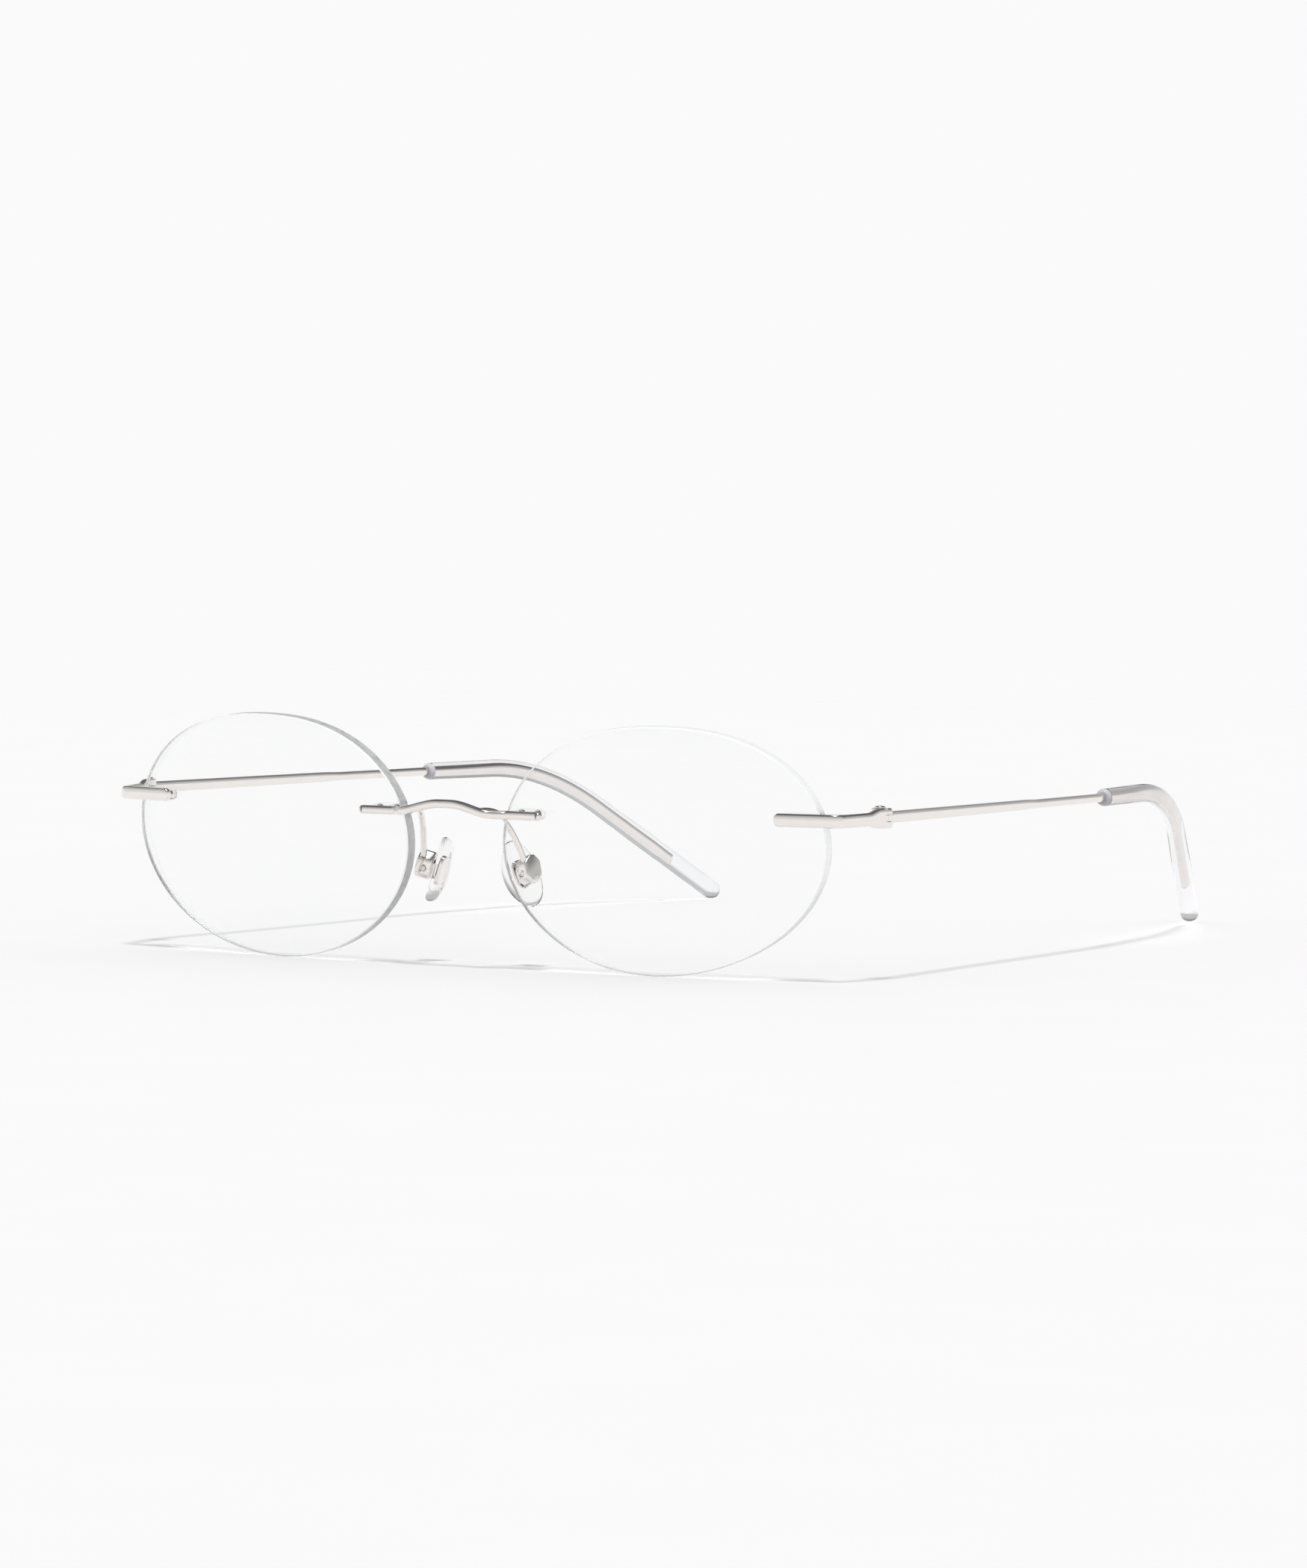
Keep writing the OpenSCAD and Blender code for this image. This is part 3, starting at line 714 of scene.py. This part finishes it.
def pad_box(side):
    """Box with cut corners that holds the pad's tongue, with a countersink for its screw."""
    place = box_matrix()
    half = BOX_SIZE[0] / 2
    rings = []
    for inset, x in ((0.3, -half), (0.12, -half + 0.06), (0.03, -half + 0.18), (0, -half + 0.34)):
        rings.append((inset, x))
    rings += [(inset, -x) for inset, x in reversed(rings)]
    skins = []
    for inset, x in rings:
        y, z = BOX_SIZE[1] / 2 - inset, BOX_SIZE[2] / 2 - inset
        outline = [
            (BOX_BROW - y, z), (-y, z - BOX_BROW), (-y, BOX_CORNER - z), (BOX_CORNER - y, -z),
            (y - BOX_CORNER, -z), (y, BOX_CORNER - z), (y, z - BOX_CORNER), (y - BOX_CORNER, z),
        ]
        skins.append([place @ Vector((x, a, b)) for a, b in eased(outline)])
    piece = mesh_object(f"pad_box_body_{side}", *loft(skins), SIDES[side])
    piece["side"] = SIDES[side]
    slot_w = 1.5 * BOX_SIZE[0] - BOX_WALL
    slot = box_shape((slot_w, BOX_SLOT, 4), place @ shift(x=-BOX_SIZE[0] + slot_w / 2, z=-1))
    axis = screw_matrix()
    face = BOX_SIZE[1] / 2
    bore = loft(spin_rings([(PAD_SCREW_R + 0.02, -3), (PAD_SCREW_R + 0.02, 3)], axis, 32))
    sink = loft(spin_rings([(PAD_SCREW_R, face - 0.25), (PAD_SCREW_R + 0.3, face + 0.05)], axis, 32))
    carve(piece, cut=[slot, bore, sink], bevel=0.05)
    place_piece(piece, "front", "frame_metal", METAL, f"pad_box_{side}")


def pad_screw(side):
    axis = screw_matrix()
    half = BOX_SIZE[1] / 2 - 0.1
    profile = rounded_bar(PAD_SCREW_R, -half, half, 0.08)
    piece = mesh_object(f"pad_screw_turned_{side}", *loft(spin_rings(profile, axis, 32)), SIDES[side])
    piece["side"] = SIDES[side]
    carve(piece, cut=[box_shape((1, 0.12, 0.3), axis @ shift(z=half))], bevel=0.02)
    place_piece(piece, "front", "screw_metal", SCREW_METAL, f"pad_screw_{side}")


def pad_insert(side):
    place = pad_matrix()
    half = INSERT_T / 2
    rings = []
    for inset, x in ((0.12, -half), (0, 0.09 - half), (0, half - 0.09), (0.12, half)):
        outline = oval(INSERT_W - 2 * inset, INSERT_L - 2 * inset, 2.6, 48)
        rings.append([place @ Vector((x, a, b)) for a, b in outline])
    piece = mesh_object(f"pad_insert_plate_{side}", *loft(rings), SIDES[side])
    piece["side"] = SIDES[side]
    eye = loft(spin_rings(rounded_bar(TONGUE_R, -TONGUE_T / 2, TONGUE_T / 2, 0.08), screw_matrix(), 40))
    web = box_shape((TONGUE_L, TONGUE_T, TONGUE_H), box_matrix() @ shift(x=-TONGUE_L / 2, z=-SCREW_DROP))
    carve(piece, joined=[eye, web], bevel=0.05)
    place_piece(piece, f"{side}_pad", "frame_metal", METAL, f"pad_insert_{side}")


def nose_pad(side):
    """Soft pad whose ends curve away from the nose, a little narrower at the top, with a round rim."""
    place = pad_matrix()
    front = PAD_T - PAD_REAR
    count, rim_from, narrowing = 72, 0.8, 0.05
    shares = [0.03, 0.2, 0.36, 0.5, 0.62, 0.72, rim_from, 0.84, 0.88, 0.92, 0.95, 0.975, 0.99, 1.0]

    def ring(share, face):
        points = []
        for k in range(count):
            t = math.tau * k / count
            y = share * (1 - narrowing * math.cos(t)) * PAD_W / 2 * math.sin(t)
            z = share * PAD_L / 2 * math.cos(t)
            square = y * y + z * z
            near = -front + PAD_FRONT_R - math.sqrt(PAD_FRONT_R ** 2 - square)
            far = PAD_REAR + PAD_BACK_R - math.sqrt(PAD_BACK_R ** 2 - square)
            fade = max(share - rim_from, 0) / (1 - rim_from)
            half = (far - near) / 2 * math.sqrt(1 - fade * fade)
            points.append(place @ Vector(((near + far) / 2 + face * half, y, z)))
        return points

    rings = [ring(s, -1) for s in shares] + [ring(s, 1) for s in reversed(shares[:-1])]
    piece = mesh_object(f"nose_pad_soft_{side}", *loft(rings), SIDES[side])
    place_piece(piece, f"{side}_pad", "pad_silicone", PAD_SILICONE, f"nose_pad_{side}")


# ---- table, light and camera ----

def table_top():
    """Pale paper that fades out into the backdrop well away from the object."""
    bpy.ops.mesh.primitive_plane_add(size=TABLE_SIZE)
    floor = bpy.context.object
    floor.name = "table_top"
    paint = Paint("paper", Roughness=0.9)
    paint.shader.inputs["Specular IOR Level"].default_value = 0.0
    paint.tint(paint.noise(40), [PAPER_ALBEDO - PAPER_MOTTLE] * 3, [PAPER_ALBEDO + PAPER_MOTTLE] * 3)
    paint.bump(paint.noise(2500), 0.01, 0.05)
    length = paint.node("ShaderNodeVectorMath")
    length.operation = "LENGTH"
    paint.link(paint.place, length.inputs[0])
    fade = paint.node("ShaderNodeMapRange")
    fade.inputs["From Min"].default_value, fade.inputs["From Max"].default_value = TABLE_FADE
    paint.link(length.outputs["Value"], fade.inputs["Value"])
    mix = paint.node("ShaderNodeMixShader")
    clear = paint.node("ShaderNodeBsdfTransparent")
    paint.link(fade.outputs["Result"], mix.inputs["Fac"])
    paint.link(paint.shader.outputs["BSDF"], mix.inputs[1])
    paint.link(clear.outputs["BSDF"], mix.inputs[2])
    paint.link(mix.outputs["Shader"], paint.output.inputs["Surface"])
    floor.data.materials.append(paint.material)


def studio():
    """White room: paper white to the eye, but mirrored as pale walls, a dark ceiling and a lamp overhead."""
    world = bpy.data.worlds.new("studio")
    bpy.context.scene.world = world
    world.use_nodes = True
    tree = world.node_tree
    back = tree.nodes["Background"]
    place = tree.nodes.new("ShaderNodeTexCoord").outputs["Generated"]
    split = tree.nodes.new("ShaderNodeSeparateXYZ")
    tree.links.new(place, split.inputs["Vector"])

    def ramp(source, low, high):
        node = tree.nodes.new("ShaderNodeMapRange")
        node.interpolation_type = "SMOOTHSTEP"
        node.inputs["From Min"].default_value = low
        node.inputs["From Max"].default_value = high
        tree.links.new(source, node.inputs["Value"])
        return node.outputs["Result"]

    def maths(kind, a, b):
        node = tree.nodes.new("ShaderNodeMath")
        node.operation = kind
        for socket, value in zip(node.inputs, (a, b)):
            if isinstance(value, (int, float)):
                socket.default_value = value
            else:
                tree.links.new(value, socket)
        return node.outputs["Value"]

    def blend(a, b, share):
        return maths("ADD", a, maths("MULTIPLY", share, maths("SUBTRACT", b, a)))

    height = split.outputs["Z"]
    in_front = ramp(split.outputs["Y"], *FRONT_HALF)
    above = ramp(height, *HORIZON)
    low = blend(PAPER, FRONT_LIGHT, maths("MULTIPLY", in_front, above))
    wall = blend(ramp(height, *WALL_BEHIND), ramp(height, *WALL_IN_FRONT), in_front)
    middle = blend(low, WALL_LIGHT, wall)
    ceiling = blend(ramp(height, *CEILING_BEHIND), ramp(height, *CEILING_IN_FRONT), in_front)
    overhead = maths("MULTIPLY", ramp(height, *OVERHEAD), OVERHEAD_LIGHT)
    level = maths("ADD", blend(middle, CEILING_LIGHT, ceiling), overhead)
    path = tree.nodes.new("ShaderNodeLightPath")
    through = path.outputs["Is Transmission Ray"]
    mirrored = maths("MAXIMUM", path.outputs["Is Glossy Ray"], maths("MULTIPLY", through, SEEN_THROUGH))
    bounced = maths("MINIMUM", path.outputs["Diffuse Depth"], 1.0)
    seen = blend(PAPER, level, maths("MULTIPLY", mirrored, maths("SUBTRACT", 1.0, bounced)))
    # Shadow rays already bring a part of this light through clear pieces, so less is added here
    once = maths("SUBTRACT", 1.0, maths("MULTIPLY", COUNTED_TWICE, maths("MULTIPLY", through, bounced)))
    tree.links.new(maths("MULTIPLY", seen, once), back.inputs["Strength"])
    back.inputs["Color"].default_value = (1, 1, 1, 1)

    lamp = bpy.data.lights.new("key_light", "SUN")
    direction = SUN_FROM.normalized()
    lamp.energy = math.pi * PAPER * (1 / PAPER_ALBEDO - 1) / direction.z
    lamp.angle = math.radians(SUN_WIDTH)
    key = bpy.data.objects.new("key_light", lamp)
    key.rotation_euler = direction.to_track_quat("Z", "Y").to_euler()
    key.visible_transmission = False  # so clear pieces throw no bright spots of the lamp
    bpy.context.scene.collection.objects.link(key)


def camera():
    a, e, r = (math.radians(x) for x in (CAMERA_AZIMUTH, CAMERA_ELEVATION, CAMERA_ROLL))
    back = Vector((math.sin(a) * math.cos(e), -math.cos(a) * math.cos(e), math.sin(e)))
    right = Vector((math.cos(a), math.sin(a), 0))
    up = back.cross(right)
    level_right = right * math.cos(r) + up * math.sin(r)
    level_up = up * math.cos(r) - right * math.sin(r)
    data = bpy.data.cameras.new("camera")
    data.lens = CAMERA_LENS
    data.sensor_width = 36
    data.clip_start, data.clip_end = 0.05, 50
    eye = bpy.data.objects.new("camera", data)
    eye.matrix_world = Matrix.Translation((CAMERA_TARGET + back * CAMERA_DISTANCE) * MM) @ Matrix((
        (level_right.x, level_up.x, back.x, 0),
        (level_right.y, level_up.y, back.y, 0),
        (level_right.z, level_up.z, back.z, 0),
        (0, 0, 0, 1),
    ))
    bpy.context.scene.collection.objects.link(eye)
    bpy.context.scene.camera = eye


def view_settings():
    scene = bpy.context.scene
    scene.view_settings.view_transform = "Standard"
    scene.cycles.max_bounces = 16
    scene.cycles.transmission_bounces = 12
    scene.cycles.transparent_max_bounces = 24
    scene.cycles.caustics_reflective = False
    scene.cycles.caustics_refractive = True


bridge()
for side in SIDES:
    lens(side)
    bushing(f"outer_bushing_plate_{side}", OUTER_SPOT, side, f"outer_bushing_{side}")
    bushing(f"inner_bushing_plate_{side}", INNER_SPOT, side, f"inner_bushing_{side}")
    end_piece(side)
    hinge_screw(side)
    temple(side)
    temple_tip(side)
    pad_arm(side)
    pad_box(side)
    pad_screw(side)
    pad_insert(side)
    nose_pad(side)
table_top()
studio()
camera()
view_settings()
